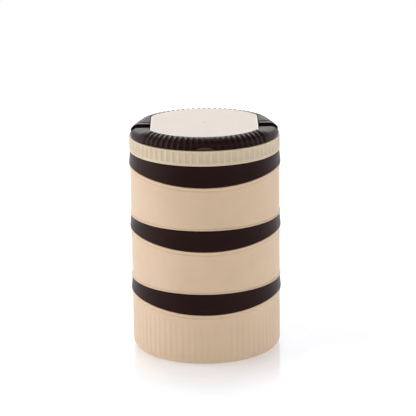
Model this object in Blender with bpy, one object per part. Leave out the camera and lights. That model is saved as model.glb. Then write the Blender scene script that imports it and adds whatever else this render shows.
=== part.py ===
"""Three-tier insulated lunch carrier: a fluted base bowl, two tiers that screw onto it, and a
lid with two folding half-ring handles. Metres, +Z up, origin at the centre of the base's foot.
The front faces -Y. Every tier is turned about the Z axis.
"""

import math

import bmesh
import bpy

# ---- driving dimensions ----
BODY_RADIUS = 0.0695  # outside of the cream shells
BASE_HEIGHT = 0.0683  # floor to the seat of the first tier
TIER_PITCH = 0.0603  # seat to seat
FIT = 0.0003  # clearance between pieces that touch

SHELL_WALL = 0.0019
LIP_PROUD = 0.0008  # the rolled lip under each dark band
LIP_HEIGHT = 0.0026
FLOOR_THICKNESS = 0.0020
FOOT_RECESS = 0.0012
FOOT_ROUND = 0.0062  # corner between the wall and the flat foot
FOOT_WIDTH = 0.0063
EDGE_BEAD = 0.0004  # rounded edge where a shell stands on the seat below
EDGE_BEAD_HEIGHT = 0.0009

FLUTES = 72
FLUTE_DEPTH = 0.0005
BASE_FLUTE_TOP = 0.0105  # from the lip down to where the base's flutes end
BASE_FLUTE_FADE = 0.0040
LID_FLUTE_FOOT = 0.0026  # plain rim under the lid's flutes

BAND_HEIGHT = 0.0197  # dark band at the front and back
BAND_WAVE = 0.0075  # how much its lower edge rises at the sides
BAND_FLARE = 0.0010
COLLAR_LAP = 0.0043  # how far the collar reaches down inside the shell
COLLAR_WALL = 0.0021
COLLAR_SHOULDER = 0.0020

THREAD_ROOM = 0.0020  # between the neck and the shell that screws onto it
THREAD_STARTS = 4
THREAD_LEAD = 0.0160  # rise in one turn
THREAD_FOOT = 0.0024  # where a thread ridge begins, above the seat
THREAD_ARC = math.radians(60)
THREAD_ROOT = 0.0015
THREAD_CREST = 0.0010
NECK_HEIGHT = 0.0076
NECK_WALL = 0.0024

STEEL = 0.0006
BOWL_TAPER = 0.0029
BOWL_CORNER = 0.0040
BASE_FLOOR_FOAM = 0.0082
TIER_FLOOR_FOAM = 0.0060
SEAL_THICKNESS = 0.0010
SEAL_WIDTH = 0.0023
PLATE_THICKNESS = 0.0012
PLUG_DEPTH = 0.0030
PLUG_GAP = 0.0007
LEDGE_THICKNESS = 0.0010
LEDGE_WIDTH = 0.0036

DECK_THICKNESS = 0.0012
LID_RIM = 0.0002  # the lid ring stands this far above the deck
HANDLE_WIDTH = 0.0117
HANDLE_THICKNESS = 0.0098
END_THICKNESS = 0.0075  # at the pads, where the handles meet
END_ROUND = 0.0050  # width of the rounded shoulder at the pads
GRIP_START = 0.0400  # from the centre line to where the handle has its full thickness
HANDLE_EDGE = 0.0010  # upright outer edge, under the rounded back
HANDLE_INSET = 0.0002
HANDLE_GAP = 0.0006
HANDLE_END = 0.0071  # from the centre line to each handle's end
HANDLE_RIBS = 22
RIB_PITCH = math.radians(4.9)
RIB_DEPTH = 0.0005
PAD_WIDTH = 0.0191  # handle end, from its outside to the disc
NOTCH_WIDTH = 0.0200
NOTCH_HEIGHT = 0.0036
NOTCH_DEPTH = 0.0042  # inward from the handle's outside
STOP_HEIGHT = 0.0033  # the deck's raised stops, behind the thumb notches
STOP_WIDTH = 0.0180
STOP_THICKNESS = 0.0010
PIVOT_Y = 0.0100
PIVOT_DROP = 0.0058  # from the disc's top to the pivots
ISLAND_WALL = 0.0024
DISC_THICKNESS = 0.0022
DISC_EDGE = 0.0006
DISC_PROUD = 0.0005  # above the handles
SNAP_RIM = 0.0010
PIN_RADIUS = 0.0015
PIN_REACH = 0.0076  # into each handle end
PIN_HEAD_RADIUS = 0.0021
PIN_HEAD = 0.0010

# ---- places that follow from them ----
FOOT_RADIUS = BODY_RADIUS - FOOT_ROUND
SHELL_INNER = BODY_RADIUS - SHELL_WALL
NECK_OUTER = SHELL_INNER - THREAD_ROOM
NECK_INNER = NECK_OUTER - NECK_WALL
TUBE_OUTER = SHELL_INNER - FIT
TUBE_INNER = TUBE_OUTER - COLLAR_WALL
BOWL_OUTER = NECK_INNER - FIT
RIM_OUTER = NECK_OUTER - FIT
PLATE_RADIUS = SHELL_INNER - FIT
PLUG_RADIUS = BOWL_OUTER - STEEL - PLUG_GAP

# heights above a seat of what lies between one tier and the next
RIM_LOW = NECK_HEIGHT + FIT
RIM_TOP = RIM_LOW + STEEL
SEAL_LOW = RIM_TOP + FIT
SEAL_TOP = SEAL_LOW + SEAL_THICKNESS
PLATE_LOW = SEAL_TOP + FIT
PLATE_TOP = PLATE_LOW + PLATE_THICKNESS
LEDGE_LOW = PLATE_TOP + FIT
LEDGE_TOP = LEDGE_LOW + LEDGE_THICKNESS
DECK_LOW = LEDGE_TOP + FIT
DECK_TOP = DECK_LOW + DECK_THICKNESS
LID_RING_TOP = DECK_TOP + LID_RIM
HANDLE_LOW = LID_RING_TOP + FIT
HANDLE_TOP = HANDLE_LOW + HANDLE_THICKNESS
DISC_TOP = HANDLE_TOP + DISC_PROUD
DISC_LOW = DISC_TOP - DISC_THICKNESS
PIVOT_Z = DISC_TOP - PIVOT_DROP

HANDLE_OUTER = BODY_RADIUS - HANDLE_INSET
HANDLE_INNER = HANDLE_OUTER - HANDLE_WIDTH
PAD_X = HANDLE_OUTER - PAD_WIDTH
DISC_RADIUS = HANDLE_INNER - HANDLE_GAP
DISC_CHORD = PAD_X - HANDLE_GAP
ISLAND_RADIUS = DISC_RADIUS - HANDLE_GAP
ISLAND_CHORD = DISC_CHORD - FIT
SHELL_SEAT = FIT

# ---- facets ----
SIDES = 48
INNER_SIDES = 36
FINE_SIDES = 2 * FLUTES
PIN_SIDES = 16
ARC_SIDES = 16
CHORD_SIDES = 4


def turn(sides):
    """Angles of one full turn, counted from the front."""
    return [math.tau * side / sides for side in range(sides)]


def point(angle, radius, height):
    """The point at an angle from the front, a radius and a height."""
    return (radius * math.sin(angle), -radius * math.cos(angle), height)


def value_at(size, angle):
    """A size that is either one number or a function of the angle."""
    return size(angle) if callable(size) else size


def ring(angles, radius, height):
    """One loop of points around the axis."""
    return [point(a, value_at(radius, a), value_at(height, a)) for a in angles]


def band_foot(seat):
    """The wavy lower edge of a dark band under a seat, lowest at the front and back."""
    return lambda angle: seat - BAND_HEIGHT + BAND_WAVE * math.sin(angle) ** 2


def below(edge, drop):
    """An edge that runs a fixed drop below another."""
    return lambda angle: edge(angle) - drop


def fluted(radius):
    """A radius that falls by the flute depth between the ribs."""
    half = math.pi / FLUTES
    return lambda angle: radius - FLUTE_DEPTH * (round(angle / half) % 2)


def chorded(radius, chord):
    """A circle cut by two straight sides, at -chord and +chord in X."""
    return lambda angle: min(radius, chord / max(abs(math.sin(angle)), 1e-9))


def chorded_turn(radius, chord):
    """Angles of a turn, with columns on the four corners of a chorded circle."""
    corner = math.asin(chord / radius)
    front = [-corner + 2 * corner * i / ARC_SIDES for i in range(ARC_SIDES)]
    gap = math.pi - 2 * corner
    side = [corner + gap * i / CHORD_SIDES for i in range(CHORD_SIDES)]
    half = front + side
    return half + [angle + math.pi for angle in half]


def bridge(bm, first, second):
    """Faces between two loops whose counts are equal or a whole multiple."""
    coarse, fine = sorted((first, second), key=len)
    step = len(fine) // len(coarse)
    for i, corner in enumerate(coarse):
        following = coarse[(i + 1) % len(coarse)]
        edge = [fine[(i * step + k) % len(fine)] for k in range(step + 1)]
        if step == 1:
            bm.faces.new([corner, *edge, following])
            continue
        middle = step // 2
        bm.faces.new([corner, edge[middle], following])
        for k in range(step):
            bm.faces.new([corner if k < middle else following, edge[k], edge[k + 1]])


def add_loft(bm, loops, closed):
    """A solid through a row of loops, closed into a ring or capped at both ends."""
    rows = [[bm.verts.new(p) for p in loop] for loop in loops]
    for first, second in zip(rows, rows[1:]):
        bridge(bm, first, second)
    if closed:
        bridge(bm, rows[-1], rows[0])
    else:
        bm.faces.new(rows[0])
        bm.faces.new(rows[-1])


def add_rod(bm, start, end, radius, centre_y, centre_z):
    """A round rod along X."""
    loops = []
    for x in (start, end):
        circle = [(math.cos(a), math.sin(a)) for a in turn(PIN_SIDES)]
        loops.append([(x, centre_y + radius * c, centre_z + radius * s) for c, s in circle])
    add_loft(bm, loops, closed=False)


def place(name, bm, material, parent, location=(0, 0, 0)):
    """Turn a bmesh into a smooth-shaded object with one material, under its empty."""
    bmesh.ops.recalc_face_normals(bm, faces=bm.faces)
    mesh = bpy.data.meshes.new(name)
    bm.to_mesh(mesh)
    bm.free()
    mesh.shade_smooth()
    mesh.set_sharp_from_angle(angle=math.radians(30))
    if material:
        mesh.materials.append(material)
    item = bpy.data.objects.new(name, mesh)
    item.parent = parent
    item.location = location
    bpy.context.scene.collection.objects.link(item)
    return item


def turned(name, loops, material, parent, closed=False):
    """An object lofted through turned loops."""
    bm = bmesh.new()
    add_loft(bm, loops, closed)
    return place(name, bm, material, parent)


def boolean(item, tool, operation):
    """Join or cut an object with a hidden tool object."""
    tool.hide_render = True
    tool.display_type = "WIRE"
    modifier = item.modifiers.new(operation.lower(), "BOOLEAN")
    modifier.operation = operation
    modifier.solver = "EXACT"
    modifier.object = tool


def plastic(name, colour, roughness, metallic=0.0):
    """A plain Principled material."""
    made = bpy.data.materials.new(name)
    made.use_nodes = True
    shader = made.node_tree.nodes["Principled BSDF"]
    shader.inputs["Base Color"].default_value = (*colour, 1)
    shader.inputs["Roughness"].default_value = roughness
    shader.inputs["Metallic"].default_value = metallic
    return made


def thread_tool(name, root_radius, crest_radius, first_angle, seat, parent):
    """Helical ridges of a multi-start thread, one for each start, as separate bars."""
    bm = bmesh.new()
    steps = round(THREAD_ARC / (math.tau / SIDES))
    for start in range(THREAD_STARTS):
        begin = first_angle + math.tau * start / THREAD_STARTS
        loops = []
        for step in range(steps + 1):
            along = THREAD_ARC * step / steps
            height = seat + THREAD_FOOT + THREAD_LEAD * along / math.tau
            corners = (
                (root_radius, -THREAD_ROOT / 2),
                (crest_radius, -THREAD_CREST / 2),
                (crest_radius, THREAD_CREST / 2),
                (root_radius, THREAD_ROOT / 2),
            )
            loops.append([point(begin + along, r, height + z) for r, z in corners])
        add_loft(bm, loops, closed=False)
    return place(name, bm, None, parent)


def male_thread(item, seat, parent):
    """Ridges on the outside of a neck."""
    crest = NECK_OUTER + 0.8 * THREAD_ROOM
    tool = thread_tool(item.name + "_ridges", NECK_OUTER - FIT, crest, 0.0, seat, parent)
    boolean(item, tool, "UNION")


def female_thread(item, parent):
    """Ridges inside the lower wall of a shell, half a pitch away from the neck's."""
    crest = SHELL_INNER - 0.75 * THREAD_ROOM
    half_start = math.pi / THREAD_STARTS
    tool = thread_tool(item.name + "_ridges", SHELL_INNER + FIT, crest, half_start, 0.0, parent)
    boolean(item, tool, "UNION")


def lip_loops(angles, seat):
    """The rolled lip at the top of a shell, from the body up and over to its inside."""
    top = below(band_foot(seat), FIT)
    return [
        ring(angles, BODY_RADIUS, below(top, LIP_HEIGHT + LIP_PROUD)),
        ring(angles, BODY_RADIUS + LIP_PROUD, below(top, LIP_HEIGHT)),
        ring(angles, BODY_RADIUS + LIP_PROUD, top),
        ring(angles, SHELL_INNER, top),
    ]


def base_shell(material, parent):
    """The fluted cup of the base, with a rounded foot and a shallow recess under it."""
    angles = turn(SIDES)
    fine = turn(FINE_SIDES)
    foot_inner = FOOT_RADIUS - FOOT_WIDTH
    lip_top = below(band_foot(BASE_HEIGHT), FIT)
    loops = [
        ring(angles, foot_inner - FOOT_RECESS, FOOT_RECESS),
        ring(angles, foot_inner, 0.0),
        ring(angles, FOOT_RADIUS, 0.0),
    ]
    for tilt in (30, 60, 90):
        radius = FOOT_RADIUS + FOOT_ROUND * math.sin(math.radians(tilt))
        height = FOOT_ROUND * (1 - math.cos(math.radians(tilt)))
        loops.append(
            ring(angles, radius, height) if tilt == 30 else ring(fine, fluted(radius), height)
        )
    loops.append(ring(fine, fluted(BODY_RADIUS), below(lip_top, BASE_FLUTE_TOP)))
    loops.append(ring(angles, BODY_RADIUS, below(lip_top, BASE_FLUTE_TOP - BASE_FLUTE_FADE)))
    loops += lip_loops(angles, BASE_HEIGHT)[1:]
    inner_floor = FOOT_RECESS + FLOOR_THICKNESS
    loops.append(ring(angles, SHELL_INNER, inner_floor + FOOT_ROUND - SHELL_WALL))
    loops.append(ring(angles, FOOT_RADIUS, inner_floor))
    return turned("base_shell", loops, material, parent)


def tier_shell(name, material, parent):
    """An open tube with a bead at its foot, a wavy lip at its top and a ledge inside."""
    angles = turn(SIDES)
    ledge_inner = SHELL_INNER - LEDGE_WIDTH
    loops = [
        ring(angles, BODY_RADIUS - EDGE_BEAD, SHELL_SEAT),
        ring(angles, BODY_RADIUS + EDGE_BEAD, SHELL_SEAT + EDGE_BEAD_HEIGHT),
        *lip_loops(angles, TIER_PITCH),
        ring(angles, SHELL_INNER, LEDGE_TOP),
        ring(angles, ledge_inner, LEDGE_TOP),
        ring(angles, ledge_inner, LEDGE_LOW),
        ring(angles, SHELL_INNER, LEDGE_LOW),
        ring(angles, SHELL_INNER, SHELL_SEAT),
    ]
    shell = turned(name, loops, material, parent, closed=True)
    female_thread(shell, parent)
    return shell


def collar(name, seat, material, parent):
    """The dark band with its wavy lower edge, the tube behind the shell and the threaded neck."""
    angles = turn(SIDES)
    foot = band_foot(seat)
    tube_low = seat - BAND_HEIGHT - COLLAR_LAP
    shoulder = seat - COLLAR_SHOULDER
    loops = [
        ring(angles, BODY_RADIUS + BAND_FLARE, foot),
        ring(angles, BODY_RADIUS, seat),
        ring(angles, NECK_OUTER, seat),
        ring(angles, NECK_OUTER, seat + NECK_HEIGHT),
        ring(angles, NECK_INNER, seat + NECK_HEIGHT),
        ring(angles, NECK_INNER, shoulder),
        ring(angles, TUBE_INNER, shoulder),
        ring(angles, TUBE_INNER, tube_low),
        ring(angles, TUBE_OUTER, tube_low),
        ring(angles, TUBE_OUTER, foot),
    ]
    made = turned(name, loops, material, parent, closed=True)
    male_thread(made, seat, parent)
    return made


def bowl_profile(seat, floor, offset):
    """Radius and height down a bowl's wall, moved outward by an offset."""
    lower = BOWL_OUTER - BOWL_TAPER + offset
    return (
        (BOWL_OUTER + offset, seat - COLLAR_SHOULDER),
        (lower, floor + BOWL_CORNER),
        (lower - BOWL_CORNER, floor - offset),
    )


def bowl(name, seat, floor, material, parent):
    """A thin steel bowl whose rim lies over the neck."""
    angles = turn(INNER_SIDES)
    outside = bowl_profile(seat, floor, 0.0)
    inside = bowl_profile(seat, floor, -STEEL)
    loops = [ring(angles, radius, height) for radius, height in reversed(outside)]
    loops += [
        ring(angles, BOWL_OUTER, seat + RIM_LOW),
        ring(angles, RIM_OUTER, seat + RIM_LOW),
        ring(angles, RIM_OUTER, seat + RIM_TOP),
        ring(angles, BOWL_OUTER - STEEL, seat + RIM_TOP),
    ]
    loops += [ring(angles, radius, height) for radius, height in inside]
    return turned(name, loops, material, parent)


def foam(name, seat, low, floor, low_radius, material, parent):
    """Insulation between a shell and its bowl, up to the collar's shoulder."""
    angles = turn(INNER_SIDES)
    outer = SHELL_INNER - 2 * FIT
    tube_low = seat - BAND_HEIGHT - COLLAR_LAP - FIT
    top = seat - COLLAR_SHOULDER - FIT
    loops = [
        ring(angles, low_radius, low),
        ring(angles, outer, low + outer - low_radius),
        ring(angles, outer, tube_low),
        ring(angles, TUBE_INNER - 2 * FIT, tube_low),
        ring(angles, TUBE_INNER - 2 * FIT, top),
        ring(angles, BOWL_OUTER + FIT, top),
    ]
    wall = bowl_profile(seat, floor, FIT)[1:]
    loops += [ring(angles, radius, height) for radius, height in wall]
    return turned(name, loops, material, parent)


def under_plate(name, material, parent):
    """The plate that closes a tier from below, with a shallow plug for the bowl under it."""
    angles = turn(INNER_SIDES)
    pan = PLUG_RADIUS - PLATE_THICKNESS
    loops = [
        ring(angles, PLUG_RADIUS - PLATE_THICKNESS / 2, PLATE_LOW - PLUG_DEPTH),
        ring(angles, PLUG_RADIUS, PLATE_LOW),
        ring(angles, PLATE_RADIUS, PLATE_LOW),
        ring(angles, PLATE_RADIUS, PLATE_TOP),
        ring(angles, pan, PLATE_TOP),
        ring(angles, pan - PLATE_THICKNESS / 2, PLATE_TOP - PLUG_DEPTH),
    ]
    return turned(name, loops, material, parent)


def seal(name, material, parent):
    """A flat ring that the plate above presses on the bowl's rim."""
    angles = turn(INNER_SIDES)
    inner = RIM_OUTER - SEAL_WIDTH
    loops = [
        ring(angles, RIM_OUTER, SEAL_LOW),
        ring(angles, RIM_OUTER, SEAL_TOP),
        ring(angles, inner, SEAL_TOP),
        ring(angles, inner, SEAL_LOW),
    ]
    return turned(name, loops, material, parent, closed=True)


def lid_ring(material, parent):
    """The fluted outer ring of the lid, threaded inside, with a ledge under its deck."""
    angles = turn(SIDES)
    fine = turn(FINE_SIDES)
    ledge_inner = SHELL_INNER - LEDGE_WIDTH
    radius = BODY_RADIUS + EDGE_BEAD
    top = LID_RING_TOP
    loops = [
        ring(angles, BODY_RADIUS - EDGE_BEAD, SHELL_SEAT),
        ring(angles, radius, SHELL_SEAT + EDGE_BEAD_HEIGHT),
        ring(angles, radius, SHELL_SEAT + LID_FLUTE_FOOT),
        ring(fine, fluted(radius), SHELL_SEAT + LID_FLUTE_FOOT + FLUTE_DEPTH),
        ring(fine, fluted(radius), top - EDGE_BEAD_HEIGHT),
        ring(angles, BODY_RADIUS - EDGE_BEAD, top),
        ring(angles, SHELL_INNER, top),
        ring(angles, SHELL_INNER, LEDGE_TOP),
        ring(angles, ledge_inner, LEDGE_TOP),
        ring(angles, ledge_inner, LEDGE_LOW),
        ring(angles, SHELL_INNER, LEDGE_LOW),
        ring(angles, SHELL_INNER, SHELL_SEAT),
    ]
    made = turned("lid_ring", loops, material, parent, closed=True)
    female_thread(made, parent)
    return made


def lid_frame(material, parent):
    """The dark deck under the handles, with the hollow island that carries their pins and the two low stops
    that stand in their thumb notches."""
    deck_radius = SHELL_INNER - 2 * FIT
    shoulder = math.asin(0.38 * STOP_WIDTH / deck_radius)
    shoulders = [facing + side * shoulder for facing in (0.0, math.pi) for side in (-1, 1)]
    angles = sorted([*chorded_turn(DISC_RADIUS, DISC_CHORD), *shoulders])
    outside = chorded(ISLAND_RADIUS, ISLAND_CHORD)
    inside = chorded(ISLAND_RADIUS - ISLAND_WALL, ISLAND_CHORD - ISLAND_WALL)
    island_top = DISC_LOW - FIT

    def stop_top(angle):
        aside = abs(deck_radius * math.sin(angle))
        return DECK_TOP + STOP_HEIGHT * max(1 - (2 * aside / STOP_WIDTH) ** 4, 0.0)

    loops = [
        ring(angles, deck_radius, DECK_LOW),
        ring(angles, deck_radius, stop_top),
        ring(angles, deck_radius - STOP_THICKNESS, stop_top),
        ring(angles, deck_radius - 1.2 * STOP_THICKNESS, DECK_TOP),
        ring(angles, outside, DECK_TOP),
        ring(angles, outside, island_top),
        ring(angles, inside, island_top),
        ring(angles, inside, DECK_TOP),
    ]
    frame = turned("lid_frame", loops, material, parent)
    bm = bmesh.new()
    for side in (-1, 1):
        add_rod(bm, -PAD_X, PAD_X, PIN_RADIUS + FIT, side * PIVOT_Y, PIVOT_Z)
    boolean(frame, place("lid_frame_holes", bm, None, parent), "DIFFERENCE")
    return frame


def lid_disc(material, parent):
    """The cream cap over the island, with a short rim that snaps inside it."""
    angles = chorded_turn(DISC_RADIUS, DISC_CHORD)
    snap = ISLAND_WALL + 2 * FIT
    snap_wall = PLATE_THICKNESS

    def outline(inset):
        return chorded(DISC_RADIUS - inset, DISC_CHORD - inset)

    def rim(inset):
        return chorded(ISLAND_RADIUS - snap - inset, ISLAND_CHORD - snap - inset)

    loops = [
        ring(angles, outline(DISC_EDGE), DISC_TOP),
        ring(angles, outline(0.0), DISC_TOP - DISC_EDGE),
        ring(angles, outline(0.0), DISC_LOW),
        ring(angles, rim(0.0), DISC_LOW),
        ring(angles, rim(0.0), DISC_LOW - SNAP_RIM),
        ring(angles, rim(snap_wall), DISC_LOW - SNAP_RIM),
        ring(angles, rim(snap_wall), DISC_LOW),
    ]
    return turned("lid_disc", loops, material, parent)


def lid_foam(material, parent):
    """Insulation in the pan of the lid's plate."""
    angles = turn(INNER_SIDES)
    radius = PLUG_RADIUS - 2 * PLATE_THICKNESS
    low = PLATE_TOP - PLUG_DEPTH + FIT
    loops = [ring(angles, radius, low), ring(angles, radius, DECK_LOW - FIT)]
    return turned("lid_foam", loops, material, parent)


def handle_section(angle_of, rib, notch, low):
    """One cross-section of a handle; angle_of gives the angle at each radius. From the grip to the end the
    top sinks and the rounded back narrows, both by the same smooth ramp of the distance from the centre line."""
    inner = min(HANDLE_INNER, PAD_X / math.sin(max(abs(angle_of(HANDLE_INNER)), 0.1)))
    away = abs(HANDLE_OUTER * math.cos(angle_of(HANDLE_OUTER)))
    t = min(max((away - HANDLE_END) / (GRIP_START - HANDLE_END), 0.0), 1.0)
    grip = t * t * (3 - 2 * t)
    top = HANDLE_LOW + END_THICKNESS + (HANDLE_THICKNESS - END_THICKNESS) * grip
    crest = (inner + HANDLE_EDGE) * grip + (HANDLE_OUTER - END_ROUND) * (1 - grip)
    shoulder = HANDLE_LOW + HANDLE_EDGE
    width = HANDLE_OUTER - crest
    rise = top - shoulder
    profile = [(inner, low), (inner, top - HANDLE_EDGE / 2), (crest, top - rib)]
    for tilt in (30, 55, 75, 90):
        lean = math.radians(tilt)
        radius = crest + (width - rib) * math.sin(lean)
        profile.append((radius, shoulder + (rise - rib) * math.cos(lean) + notch * math.sin(lean)))
    for inset in (HANDLE_EDGE, NOTCH_DEPTH):
        profile.append((HANDLE_OUTER - inset, max(low, HANDLE_LOW + notch)))
    profile.append((HANDLE_OUTER - NOTCH_DEPTH - HANDLE_EDGE / 2, low))
    return [point(angle_of(r), r, max(z, low)) for r, z in profile]


def handle_sections():
    """Sections from one end of the front handle to the other."""
    half_notch = NOTCH_WIDTH / 2 / HANDLE_OUTER
    ribbed = HANDLE_RIBS * RIB_PITCH / 2
    columns = 2 * HANDLE_RIBS
    sections = []
    for column in range(columns + 1):
        angle = -ribbed + 2 * ribbed * column / columns
        share = min(abs(angle) / half_notch, 1.0)
        notch = NOTCH_HEIGHT * (1 - share**4)
        rib = RIB_DEPTH * (column % 2)
        sections.append(handle_section(lambda r, a=angle: a, rib, notch, HANDLE_LOW))
    corner = math.asin(PAD_X / HANDLE_INNER)
    last_radial = math.acos((PIVOT_Y + HANDLE_THICKNESS / 2) / HANDLE_OUTER)
    outer_part = []
    for angle in (corner, (corner + last_radial) / 2, last_radial):
        outer_part.append(handle_section(lambda r, a=angle: a, 0.0, 0.0, HANDLE_LOW))
    reach = PIVOT_Z - HANDLE_LOW
    past = PIVOT_Y - HANDLE_END
    for step in range(4):
        beyond = past * step / 3
        low = PIVOT_Z - math.sqrt(reach**2 - beyond**2)
        near = PIVOT_Y - beyond
        outer_part.append(handle_section(lambda r, y=near: math.acos(y / r), 0.0, 0.0, low))
    mirrored = [[(-x, y, z) for x, y, z in section] for section in reversed(outer_part)]
    return mirrored + sections + outer_part


def handle(name, side, material, parent):
    """A half-ring handle, modelled as the front one and turned round for the rear."""
    bm = bmesh.new()
    pivot = (0.0, -PIVOT_Y, PIVOT_Z)
    sections = [
        [(x - pivot[0], y - pivot[1], z - pivot[2]) for x, y, z in section]
        for section in handle_sections()
    ]
    add_loft(bm, sections, closed=False)
    hinge_point = (0.0, side * PIVOT_Y, PIVOT_Z)
    made = place(name, bm, material, parent, hinge_point)
    holes = bmesh.new()
    for end in (-1, 1):
        start = end * (PAD_X - HANDLE_GAP)
        add_rod(holes, start, end * (PAD_X + PIN_REACH + FIT), PIN_RADIUS + FIT, 0.0, 0.0)
    tool = place(name + "_holes", holes, None, parent, hinge_point)
    turned_round = math.pi if side > 0 else 0.0
    made.rotation_euler.z = turned_round
    tool.rotation_euler.z = turned_round
    boolean(made, tool, "DIFFERENCE")
    return made


def hinge_pin(name, end, side, material, parent):
    """A headed pin pushed out through the island's wall into a handle's end."""
    bm = bmesh.new()
    head_face = ISLAND_CHORD - ISLAND_WALL - FIT
    loops = []
    for x, radius in (
        (head_face - PIN_HEAD, PIN_HEAD_RADIUS),
        (head_face, PIN_HEAD_RADIUS),
        (head_face, PIN_RADIUS),
        (PAD_X + PIN_REACH, PIN_RADIUS),
    ):
        circle = [(math.cos(a), math.sin(a)) for a in turn(PIN_SIDES)]
        loops.append([(end * x, radius * c, radius * s) for c, s in circle])
    add_loft(bm, loops, closed=False)
    return place(name, bm, material, parent, (0.0, side * PIVOT_Y, PIVOT_Z))


def level(name, height):
    """An empty on the axis, at a seat, that a tier's pieces hang from."""
    empty = bpy.data.objects.new(name, None)
    empty.location.z = height
    bpy.context.scene.collection.objects.link(empty)
    return empty


def build_base(looks, parent):
    """Base bowl: shell, insulation, steel bowl and threaded collar."""
    floor_top = FOOT_RECESS + FLOOR_THICKNESS
    floor = floor_top + BASE_FLOOR_FOAM + 2 * FIT
    base_shell(looks["cream"], parent)
    foam("base_foam", BASE_HEIGHT, floor_top + FIT, floor, FOOT_RADIUS - 2 * FIT, looks["foam"],
         parent)
    bowl("base_bowl", BASE_HEIGHT, floor, looks["steel"], parent)
    collar("base_collar", BASE_HEIGHT, looks["dark"], parent)


def build_tier(name, looks, parent):
    """One upper tier: shell, plate and seal under it, insulation, steel bowl and collar."""
    low = LEDGE_TOP + FIT
    floor = low + TIER_FLOOR_FOAM + FIT
    tier_shell(name + "_shell", looks["cream"], parent)
    under_plate(name + "_plate", looks["cream"], parent)
    seal(name + "_seal", looks["seal"], parent)
    foam(name + "_foam", TIER_PITCH, low, floor, SHELL_INNER - 4 * FIT, looks["foam"], parent)
    bowl(name + "_bowl", TIER_PITCH, floor, looks["steel"], parent)
    collar(name + "_collar", TIER_PITCH, looks["dark"], parent)


def build_lid(looks, parent):
    """Lid: ring, plate, seal, insulation, deck, disc and the two hinged handles."""
    lid_ring(looks["cream"], parent)
    under_plate("lid_plate", looks["cream"], parent)
    seal("lid_seal", looks["seal"], parent)
    lid_foam(looks["foam"], parent)
    lid_frame(looks["dark"], parent)
    lid_disc(looks["cream"], parent)
    for word, side in (("front", -1), ("rear", 1)):
        handle(f"handle_{word}", side, looks["dark"], parent)
        for hand, end in (("left", -1), ("right", 1)):
            hinge_pin(f"pin_{word}_{hand}", end, side, looks["steel"], parent)


def main():
    for item in list(bpy.data.objects):
        bpy.data.objects.remove(item)
    looks = {
        "cream": plastic("cream", (0.68, 0.53, 0.38), 0.45),
        "dark": plastic("dark_brown", (0.022, 0.011, 0.009), 0.30),
        "steel": plastic("steel", (0.62, 0.61, 0.59), 0.28, metallic=1.0),
        "foam": plastic("foam", (0.80, 0.70, 0.45), 0.90),
        "seal": plastic("silicone", (0.75, 0.74, 0.70), 0.55),
    }
    build_base(looks, level("base", 0.0))
    build_tier("middle", looks, level("middle_tier", BASE_HEIGHT))
    build_tier("top", looks, level("top_tier", BASE_HEIGHT + TIER_PITCH))
    build_lid(looks, level("lid", BASE_HEIGHT + 2 * TIER_PITCH))


main()
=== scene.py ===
"""Stacking insulated lunch carrier: the finished surfaces and materials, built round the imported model.

Everything is in metres. The carrier stands on Z, its front faces -Y, and an angle is counted from the
front, towards +X. Most pieces are turned, so a piece is a grid: one row for each point of its profile and
one column for each angle, with x = r sin(a), y = -r cos(a) and z = h.
"""

import math

import bpy
import numpy as np
from mathutils import Matrix, Vector


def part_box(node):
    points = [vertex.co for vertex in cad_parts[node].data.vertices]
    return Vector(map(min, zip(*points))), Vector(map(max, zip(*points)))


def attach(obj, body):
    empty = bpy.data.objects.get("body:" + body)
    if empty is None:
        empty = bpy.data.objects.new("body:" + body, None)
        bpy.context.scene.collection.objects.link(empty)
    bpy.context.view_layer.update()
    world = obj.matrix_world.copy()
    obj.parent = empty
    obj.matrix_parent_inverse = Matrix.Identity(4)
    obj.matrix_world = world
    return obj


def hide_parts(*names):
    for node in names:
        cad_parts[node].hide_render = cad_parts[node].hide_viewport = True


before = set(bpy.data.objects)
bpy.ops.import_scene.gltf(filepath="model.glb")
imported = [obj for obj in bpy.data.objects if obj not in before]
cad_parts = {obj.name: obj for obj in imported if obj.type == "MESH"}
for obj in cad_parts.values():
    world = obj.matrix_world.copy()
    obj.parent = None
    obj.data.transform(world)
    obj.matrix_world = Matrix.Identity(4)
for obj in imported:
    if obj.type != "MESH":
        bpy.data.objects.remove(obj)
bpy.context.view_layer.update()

MM = 0.001

# ---------------------------------------------------------------------------------------------------------
# Studio. A pale seamless floor, tall soft lights at the sides, a broad one behind and above, and a camera
# with a long lens a little above the carrier. None of it belongs to the object.
# ---------------------------------------------------------------------------------------------------------
CAMERA_TILT = math.radians(15.65)
CAMERA_ROLL = math.radians(-0.75)
CAMERA_DISTANCE = 1.982
CAMERA_AIM = Vector((0.0, 0.0, 131.2 * MM))
CAMERA_LENS = 183.2
CAMERA_SHIFT = 0.0064
FLOOR_HALF = 1.4
FLOOR_GLOW = 0.47
MIRROR_FULL = 62.0 * MM
MIRROR_GONE = 150.0 * MM
MIRROR_SHARE = 0.46
WALL_BEHIND = (0.0, 0.7)
WALL_ABOVE = (0.75, 0.35)


def new_material(name):
    """A material with its Principled shader, its nodes and its links."""
    made = bpy.data.materials.new(name)
    made.use_nodes = True
    tree = made.node_tree
    return made, tree.nodes["Principled BSDF"], tree.nodes, tree.links


def link_object(name, data):
    """An object for some data, put into the scene."""
    made = bpy.data.objects.new(name, data)
    bpy.context.scene.collection.objects.link(made)
    return made


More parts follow.
